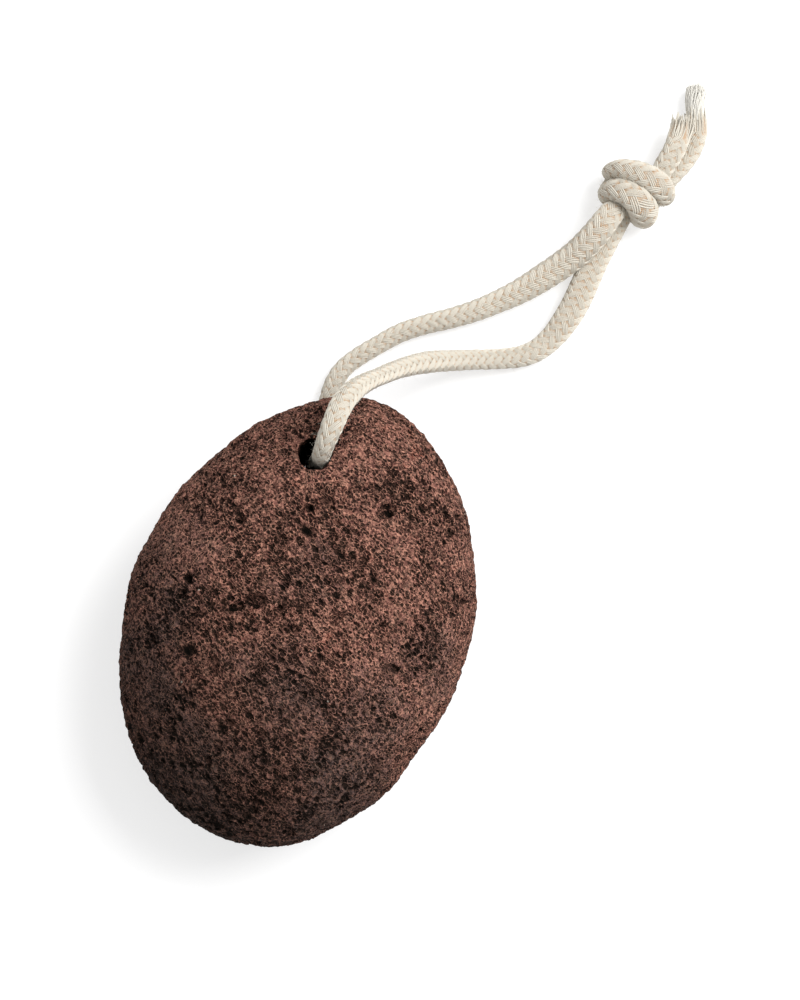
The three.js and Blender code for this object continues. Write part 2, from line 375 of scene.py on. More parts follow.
@dataclass(frozen=True)
class Vesicles:
    """The bubbles of the lava, from the largest to the finest, and how they are drawn out."""

    carved: tuple[PoreLayer, ...] = (
        PoreLayer(cell=4.6, radius=1.0, depth=0.8, least=-0.9),
        PoreLayer(cell=2.2, radius=0.62, depth=1.0, least=-0.5),
        PoreLayer(cell=1.3, radius=0.42, depth=1.2, least=-0.3),
    )
    foam: tuple[FoamLayer, ...] = (
        FoamLayer(cell=0.95, wall=0.085, depth=0.42, closed=0.66),
        FoamLayer(cell=0.54, wall=0.038, depth=0.26, closed=0.20),
        FoamLayer(cell=0.34, wall=0.026, depth=0.16, closed=0.20),
    )
    flow_turn: float = math.radians(29)
    flow_stretch: float = 0.62
    warp: float = 0.16
    warp_scale: float = 1.2
    patch: Mottle = Mottle(scale=0.09, detail=2.0, low=0.40, high=0.60)
    least_swell: float = 0.66
    patch_swell: float = 0.55
    foot_swell: float = 0.32
    foot: tuple[float, float] = (-8.0, -42.0)
    sideways: float = 0.45

    def flowing_place(self, sketch: Sketch, place: object) -> bpy.types.NodeSocket:
        """Lays the nodes that draw the bubbles out along the lava's flow and make them uneven.

        Args:
            sketch: The tree to lay them in.
            place: The place's socket, in metres.

        Returns:
            The place that the bubbles are read at, in millimetres.
        """
        scaled = sketch.in_mm(place)
        uneven = sketch.noise(scaled, self.warp_scale, 1.0).outputs["Color"]
        nudge = sketch.move("SUBTRACT", uneven, (0.5, 0.5, 0.5))
        nudged = sketch.move("ADD", scaled, sketch.move("SCALE", nudge, 2 * self.warp))
        turning = {"Vector": nudged, "Angle": self.flow_turn}
        turned = sketch.lay("ShaderNodeVectorRotate", turning, rotation_type="Z_AXIS")
        return sketch.move("MULTIPLY", turned.outputs[0], (self.flow_stretch, 1.0, 1.0))

    def swelling(self, sketch: Sketch, place: object) -> bpy.types.NodeSocket:
        """Lays the nodes that make the bubbles larger in patches and towards the foot of the egg.

        Args:
            sketch: The tree to lay them in.
            place: The place's socket, in metres.

        Returns:
            The factor on the bubbles' radius.
        """
        scaled = sketch.in_mm(place)
        share = sketch.times(self.patch.lay(sketch, scaled), self.patch_swell)
        coarse = sketch.times(sketch.stretch(self.nose_ward(sketch, scaled), *self.foot), self.foot_swell)
        return sketch.plus(self.least_swell, sketch.plus(share, coarse))

    def nose_ward(self, sketch: Sketch, scaled: object) -> bpy.types.NodeSocket:
        """Lays the nodes that give how far a place lies towards the nose and the right, in millimetres."""
        return sketch.plus(sketch.part(scaled, 1), sketch.times(sketch.part(scaled, 0), self.sideways))


VESICLES = Vesicles()


@dataclass(frozen=True)
class LavaFinish:
    """Reddish brown lava with salmon crests, partly painted highlight, and grey-olive hollows; painted shade
    blackens its pores, pits, bore and foot.
    """

    name: str = "lava_pumice"
    wall_red: Row = (0.142, 0.060, 0.048)
    wall_grey: Row = (0.104, 0.066, 0.060)
    # Salmon of the crests: partly the lava's own colour and partly painted highlight along the rims of the
    # pores.
    crest_and_rim_highlight: Row = (0.460, 0.226, 0.160)
    olive: Row = (0.100, 0.072, 0.052)
    rust: Row = (0.180, 0.050, 0.032)
    # Near black painted shade, for the pores, pits and bore and towards the foot.
    painted_shade: Row = (0.004, 0.003, 0.002)
    speck: Row = (0.560, 0.520, 0.440)
    # How far open foam cells blend towards the painted shade, one share for each size.
    foam_shade: Row = (0.84, 0.86, 0.62)
    # Depths in millimetres over which the painted shade in carved bubbles, pits and bore goes from none to
    # full.
    hollow_full: float = 0.7
    sunk_full: float = 2.4
    shade_from: float = 0.03
    broad_scale: float = 0.055
    reddening: float = 0.0055
    red_levels: tuple[float, float] = (0.30, 0.52)
    # Where along the slope towards the foot and the left the painted shade starts and is full, in
    # millimetres.
    shade_levels: tuple[float, float] = (-2.0, -68.0)
    rusty: Mottle = Mottle(scale=0.16, detail=3.0, low=0.60, high=0.74, distortion=1.2)
    rust_share: float = 0.7
    greyer: Mottle = Mottle(scale=0.75, detail=3.0, low=0.50, high=0.64)
    olive_share: float = 0.5
    grain: Mottle = Mottle(scale=2.2, detail=2.0, low=0.40, high=0.62, roughness=0.6)
    # How much of the salmon of the crests, partly painted highlight, shows away from the rims.
    flat_crest_and_highlight: float = 0.14
    speck_scale: float = 0.55
    speck_radius: float = 0.10
    speck_chance: float = 0.975
    roughness: float = 0.96
    specular: float = 0.06

    def material(self) -> bpy.types.Material:
        """Makes the stone's material.

        Returns:
            The material.
        """
        made = bpy.data.materials.new(self.name)
        made.use_nodes = True
        sketch = Sketch(made.node_tree)
        skin = sketch.note("skin", "Vector")
        place = VESICLES.flowing_place(sketch, skin)
        swell = VESICLES.swelling(sketch, skin)
        foam = [layer.lay(sketch, place, swell) for layer in VESICLES.foam]
        crest_and_rim_highlight = sketch.reckon("MAXIMUM", foam[1][1], foam[2][1])
        colour = self._walls(sketch, sketch.in_mm(skin), crest_and_rim_highlight)
        height = 0.0
        # Painted shade: open foam cells go towards near black as they sink into the bump.
        for layer, (opened, _), shade_share in zip(VESICLES.foam, foam, self.foam_shade):
            colour = sketch.blend(sketch.times(opened, shade_share), colour, (*self.painted_shade, 1))
            height = sketch.reckon("SUBTRACT", height, sketch.times(opened, layer.depth))
        # Painted shade: carved bubbles, and the pits and bore sunk below the unbroken surface, go towards
        # near black with their depth.
        for name, full in (("hollow", self.hollow_full), ("sunk", self.sunk_full)):
            shade_share = sketch.stretch(sketch.note(name, "Fac"), self.shade_from, full)
            colour = sketch.blend(shade_share, colour, (*self.painted_shade, 1))
        bump = sketch.lay("ShaderNodeBump", {"Height": height, "Distance": MM, "Strength": 1.0})
        sketch.surface(colour, bump, self.roughness, self.specular)
        return made

    def _walls(self, sketch: Sketch, scaled: object, crest_and_rim_highlight: object) -> bpy.types.NodeSocket:
        """Lays the colours of the walls between the pores.

        Args:
            sketch: The material's sketch.
            scaled: The place's socket, in millimetres.
            crest_and_rim_highlight: How near the rims of the pores the place is, where the salmon of the
                crests, partly the lava's own and partly painted highlight, is strongest.

        Returns:
            The colour's socket.
        """
        slope = VESICLES.nose_ward(sketch, scaled)
        broad = sketch.noise(scaled, self.broad_scale, 4.0).outputs[0]
        redness = sketch.plus(broad, sketch.times(slope, self.reddening))
        red = sketch.stretch(redness, *self.red_levels)
        colour = sketch.blend(red, (*self.wall_grey, 1), (*self.wall_red, 1))
        rusty = sketch.times(self.rusty.lay(sketch, scaled), red)
        colour = sketch.blend(sketch.times(rusty, self.rust_share), colour, (*self.rust, 1))
        greyer = sketch.times(self.greyer.lay(sketch, scaled), self.olive_share)
        colour = sketch.blend(greyer, colour, (*self.olive, 1))
        # Salmon crests, partly the lava's own colour and partly painted highlight: strongest along the rims
        # of the pores, grain-mottled, weaker where the lava is greyer.
        standing = sketch.reckon("ADD", crest_and_rim_highlight, self.flat_crest_and_highlight, clamp=True)
        lit = sketch.times(standing, self.grain.lay(sketch, scaled))
        dimmed = sketch.plus(0.5, sketch.times(red, 0.5))
        colour = sketch.blend(sketch.times(lit, dimmed), colour, (*self.crest_and_rim_highlight, 1))
        # Painted shade: the walls blend towards near black towards the foot and the left side, away from the
        # key light.
        colour = sketch.blend(sketch.stretch(slope, *self.shade_levels), colour, (*self.painted_shade, 1))
        specks = sketch.lay("ShaderNodeTexVoronoi", {"Vector": scaled, "Scale": self.speck_scale})
        rare = sketch.reckon("GREATER_THAN", sketch.part(specks.outputs["Color"], 0), self.speck_chance)
        near = sketch.reckon("LESS_THAN", specks.outputs["Distance"], self.speck_radius)
        return sketch.blend(sketch.times(near, rare), colour, (*self.speck, 1))


@dataclass(frozen=True)
class CottonFinish:
    """Undyed cotton yarn, with painted shade, darker and warmer, in its hollows."""

    name: str
    face: Row
    # Darker, warmer colour of the painted shade in the hollows.
    hollow: Row
    shaded: float = 0.78
    shade_levels: tuple[float, float] = (0.25, 0.85)
    lighter: float = 1.14
    grain_share: float = 0.5
    grain_height: float = 0.05 * MM
    grain_strength: float = 0.7
    roughness: float = 0.92
    sheen: float = 0.15
    specular: float = 0.2
    twist_scale: float = 3.2

    def material(self, grain_group: bpy.types.NodeTree) -> bpy.types.Material:
        """Makes the yarn's material.

        Args:
            grain_group: The group that gives the fibres' grain.

        Returns:
            The material.
        """
        made = bpy.data.materials.new(self.name)
        made.use_nodes = True
        sketch = Sketch(made.node_tree)
        place = sketch.lay("ShaderNodeTexCoord").outputs["Object"]
        grain = sketch.lay("ShaderNodeGroup", node_tree=grain_group)
        sketch.tree.links.new(place, grain.inputs["Place"])
        grain.inputs["Scale"].default_value = self.twist_scale
        # Painted shade: plies that lie under others and the cores inside the braid blend towards the darker,
        # warmer hollow colour.
        deep = sketch.times(sketch.stretch(sketch.note("hollow", "Fac"), *self.shade_levels), self.shaded)
        colour = sketch.blend(deep, (*self.face, 1), (*self.hollow, 1))
        lighter = tuple(min(1.0, value * self.lighter) for value in self.face)
        colour = sketch.blend(sketch.times(grain.outputs["Mask"], self.grain_share), colour, (*lighter, 1))
        relief = {"Distance": self.grain_height, "Strength": self.grain_strength}
        bump = sketch.lay("ShaderNodeBump", {"Height": grain.outputs["Height"], **relief})
        shader = sketch.surface(colour, bump, self.roughness, self.specular)
        shader.inputs["Sheen Weight"].default_value = self.sheen
        return made


SHEATH_FINISH = CottonFinish("cotton_sheath", face=(0.545, 0.510, 0.440), hollow=(0.43, 0.24, 0.105))
CORE_FINISH = CottonFinish("cotton_core", face=(0.66, 0.64, 0.59), hollow=(0.55, 0.50, 0.43))


def fibre_grain() -> bpy.types.NodeTree:
    """Makes the group that gives cotton its fine uneven grain.

    Returns:
        The group, with Place and Scale in and Mask and Height out.
    """
    sketch = start_group(
        "fibre_grain",
        "ShaderNodeTree",
        {"Place": "NodeSocketVector", "Scale": "NodeSocketFloat"},
        {"Mask": "NodeSocketFloat", "Height": "NodeSocketFloat"},
    )
    given = sketch.lay("NodeGroupInput")
    scaled = sketch.in_mm(given.outputs["Place"])
    noise = sketch.noise(scaled, given.outputs["Scale"], 3.0).outputs[0]
    patches = sketch.noise(scaled, 0.35, 1.0).outputs[0]
    mask = sketch.stretch(sketch.times(noise, sketch.plus(patches, 0.5)), 0.35, 0.7)
    sketch.lay("NodeGroupOutput", {"Mask": mask, "Height": noise})
    return sketch.tree


@dataclass(frozen=True)
class Pit:
    """A rounded hollow: where it is, which way it faces and its half sizes."""

    direction: Row
    long: float
    wide: float
    deep: float
    turn: float


@dataclass
class PumiceStone:
    """The stone: an egg with a flat belly, a bore, pits and pores.

    A cavity is its place across and along, its half length and width and its turn in degrees. A notch is
    its place and radius. Both are in millimetres, and the rest is in metres.
    """

    half_length: float = 0.0440
    half_width: float = 0.03265
    half_height: float = 0.0189
    belly_cut: float = 0.0007
    squareness: float = 2.1
    nose_rise: float = 0.0021
    centre_x: float = -0.00029
    centre_y: float = 0.0016
    waves: tuple[tuple[int, float, float], ...] = (
        (1, -0.052, 0.018),
        (2, 0.0, 0.023),
        (3, 0.005, 0.004),
        (4, 0.007, -0.001),
        (5, 0.006, -0.001),
    )
    bore_radius: float = 0.0034
    bore_top: Row = (-0.0047, 0.0291, 0.034)
    bore_bottom: Row = (-0.0048, 0.0304, 0.006)
    bore_overrun: float = 0.012
    pit_count: int = 92
    pit_least: float = 0.0008
    pit_most: float = 0.00175
    pit_stretch: float = 0.8
    pit_depth: float = 0.85
    pit_sink: float = 0.12
    belly_margin: float = 0.0016
    bore_margin: float = 0.0072
    cavity_depth: float = 0.0011
    cavities: tuple[tuple[float, float, float, float, float], ...] = (
        (3.4, 14.0, 1.5, 1.0, 70), (3.4, 17.2, 0.9, 0.7, 0), (-2.7, 18.5, 1.1, 0.8, 20),
        (-17.6, -6.8, 1.7, 0.8, 40), (-19.0, -9.4, 1.5, 0.8, 15), (-21.3, -3.7, 1.2, 0.8, 60),
        (-10.2, -3.2, 1.7, 0.9, 20), (-2.5, -2.1, 1.7, 1.2, 45), (-5.5, -24.2, 1.2, 0.9, 0),
        (22.6, -23.1, 1.4, 0.8, 30), (11.4, -29.0, 1.3, 0.9, 10), (-7.6, -32.5, 1.6, 0.8, 95),
        (25.7, -2.3, 1.3, 0.8, 15), (23.2, 2.6, 1.2, 0.8, 40), (22.4, 24.6, 1.3, 1.0, 130),
    )
    notches: tuple[tuple[float, float, float, float], ...] = (
        (25.6, -28.6, 20.0, 1.7), (21.6, -33.6, 21.0, 1.5), (31.2, -14.5, 17.0, 1.3),
        (-12.6, 40.4, 18.0, 1.3), (-31.6, -8.0, 17.0, 1.4), (4.0, -44.8, 17.0, 1.3),
    )
    notch_height: float = 1.8
    voxel: float = 0.00040
    crumb_scale: float = 0.7
    crumb_level: float = 0.42
    crumb_height: float = 1.2
    crease: float = math.radians(60)

    def outline_scale(self, heading: np.ndarray) -> np.ndarray:
        """Gives how far the plan departs from an ellipse.

        Args:
            heading: Angles from the +Y tip towards +X.

        Returns:
            The factor for each heading.
        """
        scale = np.ones_like(heading)
        for turns, cosine, sine in self.waves:
            scale = scale + cosine * np.cos(turns * heading) + sine * np.sin(turns * heading)
        return scale

    def surface(self, directions: np.ndarray) -> np.ndarray:
        """Gives the surface point in each direction from the stone's centre.

        Args:
            directions: Unit rows.

        Returns:
            The points.
        """
        across = np.hypot(directions[:, 0], directions[:, 1])
        total = across**self.squareness + np.abs(directions[:, 2]) ** self.squareness
        reach = total ** (-1 / self.squareness)
        scale = reach * self.outline_scale(np.arctan2(directions[:, 0], directions[:, 1]))
        y = self.half_length * directions[:, 1] * scale
        rise = self.nose_rise * (np.maximum(y, 0) / self.half_length) ** 2
        x = self.half_width * directions[:, 0] * scale
        points = np.stack([x, y, self.half_height * directions[:, 2] * reach + rise], 1)
        points = points + directions * self.lump(points / MM)[:, None] * MM
        return points + (self.centre_x, self.centre_y, self.half_height - self.belly_cut)

    @staticmethod
    def lump(points: np.ndarray) -> np.ndarray:
        """Gives the height of the shallow lumps of the weathered surface.

        Args:
            points: Places from the stone's centre, in millimetres.

        Returns:
            The height at each place, in millimetres.
        """
        x, y, z = points.T
        broad = np.sin(x / 4.6 + 0.8) * np.sin(y / 5.8 + 2.1)
        cross = np.sin(y / 3.3 + x / 7.1 + 0.5) * np.sin(z / 3.9 + 1.2)
        return 0.26 * broad + 0.24 * cross

    def normal(self, direction: np.ndarray) -> np.ndarray:
        """Gives the outward normal of the surface.

        Args:
            direction: A unit direction from the centre.

        Returns:
            The unit normal.
        """
        step = 0.02
        side = unit(np.array([-direction[1], direction[0], 0.0]))
        up = unit(np.cross(direction, side))
        spans = []
        for axis in (side, up):
            ends = unit(np.array([direction + step * axis, direction - step * axis]))
            ahead, behind = self.surface(ends)
            spans.append(ahead - behind)
        found = unit(np.cross(spans[0], spans[1]))
        return found if found @ direction > 0 else -found

    def direction_above(self, x: float, y: float) -> Row:
        """Gives the direction from the centre to the upper face above a place.

        Args:
            x: The place across the stone.
            y: The place along the stone.

        Returns:
            The unit direction.
        """
        sideways = (x - self.centre_x) / self.half_width
        lengthways = (y - self.centre_y) / self.half_length
        plain = math.hypot(sideways, lengthways)
        spread = plain / float(self.outline_scale(np.array(math.atan2(sideways, lengthways))))
        upwards = max(1 - spread**self.squareness, 0) ** (1 / self.squareness)
        return tuple(unit(np.array([sideways * spread / plain, lengthways * spread / plain, upwards])))

    def scattered_pits(self) -> list[Pit]:
        """Spreads the larger pits over the whole stone.

        Returns:
            The pits, clear of the belly and of the bore.
        """
        pits = []
        top, bottom = np.array(self.bore_top), np.array(self.bore_bottom)
        axis = unit(top - bottom)
        for i in range(self.pit_count):
            level = 1 - 2 * (i + 0.5) / self.pit_count
            height = math.copysign(1 - (1 - abs(level)) ** 1.6, level)
            heading = i * math.pi * (3 - math.sqrt(5)) + 0.5 * float(scatter(i, 1))
            across = math.sqrt(1 - height * height)
            direction = np.array([across * math.cos(heading), across * math.sin(heading), height])
            place = self.surface(direction[None])[0]
            away = np.linalg.norm(np.cross(place - bottom, axis))
            if place[2] < self.belly_margin or away < self.bore_margin:
                continue
            wide = self.pit_least + (self.pit_most - self.pit_least) * float(scatter(i, 2)) ** 2
            long = wide * (1 + self.pit_stretch * float(scatter(i, 3)))
            turn = math.pi * float(scatter(i, 4))
            pits.append(Pit(tuple(direction), long, wide, self.pit_depth * wide, turn))
        return pits

    def face_cavities(self) -> list[Pit]:
        """Gives the larger cavities of the upper face as pits."""
        pits = []
        for x, y, long, wide, turn in self.cavities:
            direction = self.direction_above(x * MM, y * MM)
            pits.append(Pit(direction, long * MM, wide * MM, self.cavity_depth, math.radians(turn)))
        return pits

    def build(self) -> bpy.types.Object:
        """Models the stone from a ball, as it is shaped, bored, pitted and weathered.

        Returns:
            The finished stone.
        """
        bpy.ops.object.select_all(action="DESELECT")
        bpy.ops.mesh.primitive_ico_sphere_add(subdivisions=6, radius=1.0, location=(0, 0, 0))
        stone = bpy.context.active_object
        stone.name = stone.data.name = "weathered_stone"
        put_vertices(stone, self.surface(unit(vertex_places(stone))))
        self._flatten_belly(stone)
        smooth = BVHTree.FromObject(stone, bpy.context.evaluated_depsgraph_get())
        self._cut(stone, self._pit_cutter())
        self._cut(stone, self._bore_cutter())
        take_up(stone)
        stone.data.remesh_voxel_size = self.voxel
        bpy.ops.object.voxel_remesh()
        self._mark_depth(stone, smooth)
        self._open_pores(stone)
        return stone

    def _flatten_belly(self, stone: bpy.types.Object) -> None:
        """Cuts the belly flat at the table.

        Args:
            stone: The stone.
        """
        take_up(stone)
        bpy.ops.object.mode_set(mode="EDIT")
        bpy.ops.mesh.select_all(action="SELECT")
        bpy.ops.mesh.bisect(plane_co=(0, 0, 0), plane_no=(0, 0, 1), clear_inner=True, use_fill=True)
        bpy.ops.object.mode_set(mode="OBJECT")

    def _pit_cutter(self) -> bpy.types.Object:
        """Models all pits, cavities and rim notches as one cutter.

        Returns:
            The cutter.
        """
        bpy.ops.object.select_all(action="DESELECT")
        for number, (*place, radius) in enumerate(self.notches):
            bpy.ops.mesh.primitive_ico_sphere_add(
                subdivisions=3,
                radius=radius * MM,
                location=Vector(place) * MM,
                scale=(1, 1, self.notch_height),
            )
            if number == 0:
                cutter = bpy.context.active_object
                bpy.ops.object.transform_apply(location=True, rotation=True, scale=True)
                bpy.ops.object.mode_set(mode="EDIT")
        for pit in self.face_cavities() + self.scattered_pits():
            direction = np.array(pit.direction)
            normal = self.normal(direction)
            place = self.surface(direction[None])[0] + normal * self.pit_sink * pit.wide
            facing = Vector((0, 0, 1)).rotation_difference(Vector(normal))
            spin = Quaternion((0, 0, 1), pit.turn)
            bpy.ops.mesh.primitive_ico_sphere_add(
                subdivisions=3,
                radius=1.0,
                location=tuple(place),
                rotation=(facing @ spin).to_euler(),
                scale=(pit.long, pit.wide, pit.deep),
            )
        bpy.ops.object.mode_set(mode="OBJECT")
        return cutter

    def _bore_cutter(self) -> bpy.types.Object:
        """Models the drill that makes the bore.

        Returns:
            The cutter.
        """
        top, bottom = Vector(self.bore_top), Vector(self.bore_bottom)
        axis = top - bottom
        turn = Vector((0, 0, 1)).rotation_difference(axis).to_euler()
        bpy.ops.object.select_all(action="DESELECT")
        bpy.ops.mesh.primitive_cylinder_add(
            vertices=48,
            radius=self.bore_radius,
            depth=axis.length + 2 * self.bore_overrun,
            location=(top + bottom) / 2,
            rotation=turn,
        )
        return bpy.context.active_object

    @staticmethod
    def _cut(stone: bpy.types.Object, cutter: bpy.types.Object) -> None:
        """Takes a cutter's shape out of the stone and uses the cutter up."""
        finish_with(stone, "BOOLEAN", operation="DIFFERENCE", solver="EXACT", use_self=True, object=cutter)
        bpy.data.objects.remove(cutter)

    @staticmethod
    def _mark_depth(stone: bpy.types.Object, smooth: BVHTree) -> None:
        """Notes how far each vertex lies below the unbroken surface, in millimetres.

        Args:
            stone: The stone.
            smooth: The surface before it was pitted and bored.
        """
        below = [smooth.find_nearest(vertex.co)[3] / MM for vertex in stone.data.vertices]
        sunk = stone.data.attributes.new("sunk", "FLOAT", "POINT")
        sunk.data.foreach_set("value", below)

    def _open_pores(self, stone: bpy.types.Object) -> None:
        """Opens the gas bubbles that the surface cuts through.

        Args:
            stone: The remeshed stone.
        """
        sketch = start_group(
            "open_pores",
            "GeometryNodeTree",
            {"Geometry": "NodeSocketGeometry"},
            {"Geometry": "NodeSocketGeometry"},
        )
        sketch.tree.is_modifier = True
        given = sketch.lay("NodeGroupInput")
        place = sketch.lay("GeometryNodeInputPosition").outputs[0]
        flowing = VESICLES.flowing_place(sketch, place)
        swell = VESICLES.swelling(sketch, place)
        depth = VESICLES.carved[0].lay(sketch, flowing, swell)
        for layer in VESICLES.carved[1:]:
            depth = sketch.reckon("MAXIMUM", depth, layer.lay(sketch, flowing, swell))
        opened = VESICLES.foam[0].lay(sketch, flowing, swell)[0]
        crumbled = sketch.times(opened, VESICLES.foam[0].depth)
        geometry = given.outputs[0]
        for name, value, kind in (("skin", place, "FLOAT_VECTOR"), ("hollow", depth, "FLOAT")):
            noted = sketch.lay(
                "GeometryNodeStoreNamedAttribute",
                {"Geometry": geometry, "Name": name, "Value": value},
                data_type=kind,
                domain="POINT",
            )
            geometry = noted.outputs[0]
        crumb = sketch.noise(sketch.in_mm(place), self.crumb_scale, 3.0).outputs[0]
        rough = sketch.times(sketch.reckon("SUBTRACT", crumb, self.crumb_level), self.crumb_height)
        cut = sketch.reckon("SUBTRACT", rough, sketch.reckon("MAXIMUM", depth, crumbled))
        normal = sketch.lay("GeometryNodeInputNormal").outputs[0]
        offset = sketch.move("SCALE", normal, sketch.times(cut, MM))
        moved = sketch.lay("GeometryNodeSetPosition", {"Geometry": geometry, "Offset": offset})
        sketch.lay("NodeGroupOutput", {"Geometry": moved.outputs[0]})
        finish_with(stone, "NODES", node_group=sketch.tree)
        places = vertex_places(stone)
        places[:, 2] = np.maximum(places[:, 2], 0.0)
        put_vertices(stone, places)
        bpy.ops.object.shade_smooth_by_angle(angle=self.crease)


def between(t: np.ndarray, low: float, high: float, first: np.ndarray, last: np.ndarray) -> np.ndarray:
    """Runs straight from the first value at the low mark to the last value at the high mark."""
    return (high - t) / (high - low) * first + (t - low) / (high - low) * last


def smooth_line(rows: np.ndarray, step: float) -> np.ndarray:
    """Runs a centripetal curve through a route's points.

    Args:
        rows: The route's points.
        step: The distance between the curve's points.

    Returns:
        Points at even distances along the curve.
    """
    ends = np.vstack([2 * rows[0] - rows[1], rows, 2 * rows[-1] - rows[-2]])
    fine = []
    for i in range(1, len(ends) - 2):
        p0, p1, p2, p3 = ends[i - 1 : i + 3]
        gaps = np.linalg.norm(np.diff(ends[i - 1 : i + 3], axis=0), axis=1)
        knots = np.concatenate([[0], np.cumsum(np.sqrt(gaps))])
        t = np.linspace(knots[1], knots[2], 24, endpoint=False)[:, None]
        first = between(t, *knots[[0, 1]], p0, p1)
        middle = between(t, *knots[[1, 2]], p1, p2)
        last = between(t, *knots[[2, 3]], p2, p3)
        early = between(t, *knots[[0, 2]], first, middle)
        late = between(t, *knots[[1, 3]], middle, last)
        fine.append(between(t, *knots[[1, 2]], early, late))
    line = np.vstack([*fine, rows[-1:]])
    travelled = np.concatenate([[0], np.cumsum(np.linalg.norm(np.diff(line, axis=0), axis=1))])
    count = max(2, round(travelled[-1] / step) + 1)
    even = np.linspace(0, travelled[-1], count)
    return np.stack([np.interp(even, travelled, line[:, k]) for k in range(3)], 1)


class Strand:
    """One half of the cord: its centreline, how thick it is there, and a frame that follows it."""

    STEP = 0.0002

    def __init__(self, points: np.ndarray, girth: np.ndarray) -> None:
        """Lays the strand.

        Args:
            points: The route's points.
            girth: The cord's radius at each of them.
        """
        self.line = smooth_line(points, self.STEP)
        gaps = np.linalg.norm(np.diff(self.line, axis=0), axis=1)
        self.travelled = np.concatenate([[0], np.cumsum(gaps)])
        nearest = [np.linalg.norm(self.line - point, axis=1).argmin() for point in points]
        self.marks = self.travelled[nearest]
        self.radius = np.interp(self.travelled, self.marks, girth)
        self.along = unit(np.gradient(self.line, axis=0))
        self.side = self._carry_side()
        self.up = np.cross(self.along, self.side)

    def _carry_side(self) -> np.ndarray:
        """Carries a sideways direction along the line without twisting it.

        Returns:
            One unit row for each point.
        """
        side = unit(np.cross(self.along[0], (1.0, 0.0, 0.0)))
        carried = []
        for along in self.along:
            side = unit(side - along * (side @ along))
            carried.append(side)
        return np.array(carried)

    @property
    def length(self) -> float:
        """The strand's length."""
        return float(self.travelled[-1])

    def read(self, values: np.ndarray, distance: np.ndarray) -> np.ndarray:
        """Reads a value that changes along the strand.

        Args:
            values: One value or row for each point of the line.
            distance: Where to read it.

        Returns:
            The value at each distance.
        """
        if values.ndim == 1:
            return np.interp(distance, self.travelled, values)
        return np.stack([np.interp(distance, self.travelled, values[:, k]) for k in range(3)], -1)

    def at(self, distance: np.ndarray) -> tuple[np.ndarray, ...]:
        """Gives the centre, the side and up directions and the radius at each distance."""
        return tuple(self.read(values, distance) for values in (self.line, self.side, self.up, self.radius))


def around(side: np.ndarray, up: np.ndarray, angle: np.ndarray) -> np.ndarray:
    """Gives the direction at an angle around a strand, from its side and up directions."""
    return np.cos(angle)[..., None] * side + np.sin(angle)[..., None] * up


@dataclass(frozen=True)
class Braid:
    """A round braid of carriers that go two over and two under. Metres."""

    carriers: int = 16
    plies: int = 4
    round_radius: float = 0.00205
    pitch: float = 0.0158
    lift: float = 0.00011
    crown: float = 0.00003
    step: float = 0.0005
    sides: int = 4
    flattest: float = 0.72
    weave_sharpness: float = 0.6
    wander: float = 0.00004
    wander_every: float = 0.0021
    uneven: float = 0.00003
    uneven_every: float = 0.0013

    def flatness(self, radius: np.ndarray) -> np.ndarray:
        """Gives how low the section is for its width, as the cord spreads where it is wide."""
        return np.clip((2 * self.round_radius - radius) / radius, self.flattest, 0.95)

    def slant(self, radius: np.ndarray) -> np.ndarray:
        """Gives how far the carriers lean from straight across, from 0 to 1."""
        return self.pitch / np.hypot(self.pitch, 2 * math.pi * radius)

    def ply_gap(self, radius: np.ndarray) -> np.ndarray:
        """Gives the distance between neighbouring plies."""
        return 2 * math.pi * radius * self.slant(radius) / (self.carriers / 2) / (self.plies + 0.25)

    def yarns(
        self, strand: Strand, distance: np.ndarray, flare: np.ndarray, unlaid: float = math.inf
    ) -> tuple[np.ndarray, ...]:
        """Lays every ply of the braid.

        Args:
            strand: The strand that it is braided on.
            distance: Where each ply's points lie, one row for each ply.
            flare: A factor on the radius for each point.
            unlaid: Where the braid stops and its plies run straight on.

        Returns:
            The plies' points, the outward direction at each, and how hollow it lies.
        """
        half = self.carriers // 2
        way = np.repeat([1, -1], half * self.plies)[:, None]
        carrier = np.tile(np.repeat(np.arange(half), self.plies), 2)[:, None]
        ply = np.tile(np.arange(self.plies), self.carriers)[:, None] - (self.plies - 1) / 2
        number = np.arange(len(way))[:, None]
        line, side, up, radius = strand.at(distance)
        wound = 2 * math.pi * np.minimum(distance, unlaid) / self.pitch
        centre = way * wound + 2 * math.pi * carrier / half
        wave = np.cos(half / 2 * centre - math.pi / 4)
        weave = np.sign(wave) * np.abs(wave) ** self.weave_sharpness
        wander = self.wander * np.sin(distance / self.wander_every + 6.28 * scatter(number, 5))
        angle = centre + (ply * self.ply_gap(radius) / self.slant(radius) + wander) / radius
        crown = self.crown * (1 - (ply / ((self.plies - 1) / 2)) ** 2)
        uneven = self.uneven * np.sin(distance / self.uneven_every + 6.28 * scatter(number, 6))
        inset = self.ply_radius(radius) + self.lift
        outer = (radius - inset) * flare + way * self.lift * weave + crown + uneven
        outward = around(side, up, angle)
        pressed = outer[..., None] * outward
        pressed[..., 2] *= self.flatness(radius)
        return line + pressed, outward, 0.5 - 0.5 * way * weave

    def ply_radius(self, radius: np.ndarray) -> np.ndarray:
        """Gives how thick a ply is, a little more than its share, so that neighbours meet."""
        return 0.55 * self.ply_gap(radius)

    def core_radius(self, radius: np.ndarray) -> np.ndarray:
        """Gives the radius of the cotton that the braid is worked around."""
        return (radius - 1.1 * self.ply_gap(radius) - 2 * self.lift) * self.flatness(radius)


